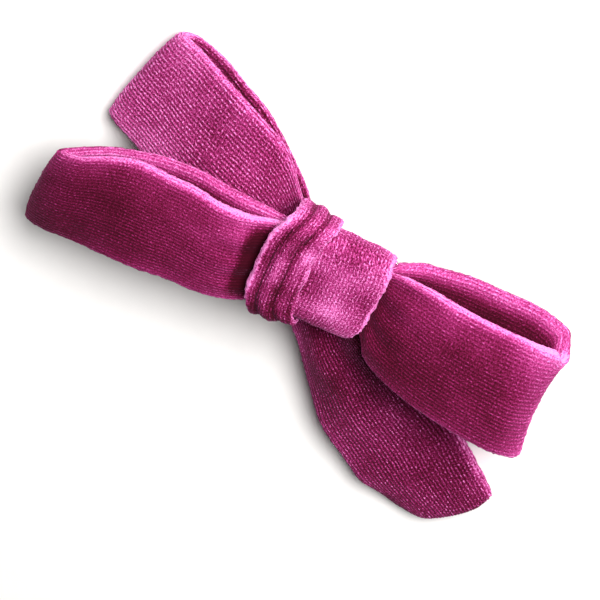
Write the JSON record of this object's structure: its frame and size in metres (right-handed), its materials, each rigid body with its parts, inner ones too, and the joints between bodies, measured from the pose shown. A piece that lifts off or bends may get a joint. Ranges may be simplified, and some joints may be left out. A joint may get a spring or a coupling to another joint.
{
  "type": "bow barrette",
  "caption": "Crossed velvet bow with a wrapped knot band, sewn on a hinged spring barrette clip that opens and latches.",
  "frame": {"origin": "middle of the footprint, on the surface the barrette lies on", "axes": "+X along the front bow and the clip, from the hinge to the catch; +Y across the clip; +Z out through the face of the bow"},
  "size_m": [0.108, 0.0811, 0.0287],
  "materials": {
    "velvet": "magenta stretch velvet, ribbed pile that goes dark face on and pink at the rims",
    "felt": "matte pressed felt",
    "thread": "twisted polyester thread",
    "plated_steel": "nickel plated stamped steel with fine scuffs",
    "spring_steel": "satin tempered spring steel"
  },
  "bodies": {
    "base": {"base_plate": "plated_steel", "hinge_pin": "plated_steel", "catch_bracket": "spring_steel", "catch_rivet": "plated_steel", "backing_felt": "felt", "front_bow_strip": "velvet", "back_bow_strip": "velvet", "knot_band": "velvet", "knot_stitch": "thread", "thread_tack_hinge_end": "thread", "thread_tack_catch_end": "thread"},
    "arm": {"clasp_arm": "plated_steel"},
    "leaf": {"tension_spring": "spring_steel"},
    "prong_front": {"catch_prong_front": "spring_steel"},
    "prong_rear": {"catch_prong_rear": "spring_steel"}
  },
  "joints": [
    {"name": "arm_hinge", "type": "hinge", "parent": "base", "child": "arm", "pos_m": [-0.02775, 0.0097, 0.0046], "axis": [0, 1, 0], "range_deg": [0, 85]},
    {"name": "leaf_flex", "type": "hinge", "parent": "base", "child": "leaf", "pos_m": [-0.02415, 0.0097, 0.007], "axis": [0, -1, 0], "range_deg": [0, 2.2], "stiffness_Nm_per_rad": 0.05},
    {"name": "prong_front_squeeze", "type": "hinge", "parent": "base", "child": "prong_front", "pos_m": [0.03325, 0.00785, 0.0059], "axis": [1, 0, 0], "range_deg": [0, 10], "stiffness_Nm_per_rad": 0.0005},
    {"name": "prong_rear_squeeze", "type": "hinge", "parent": "base", "child": "prong_rear", "pos_m": [0.03325, 0.01155, 0.0059], "axis": [-1, 0, 0], "range_deg": [0, 10], "stiffness_Nm_per_rad": 0.0005}
  ],
  "couplings": [
    {"joint": "prong_rear_squeeze", "follows": "prong_front_squeeze", "ratio": 1}
  ]
}
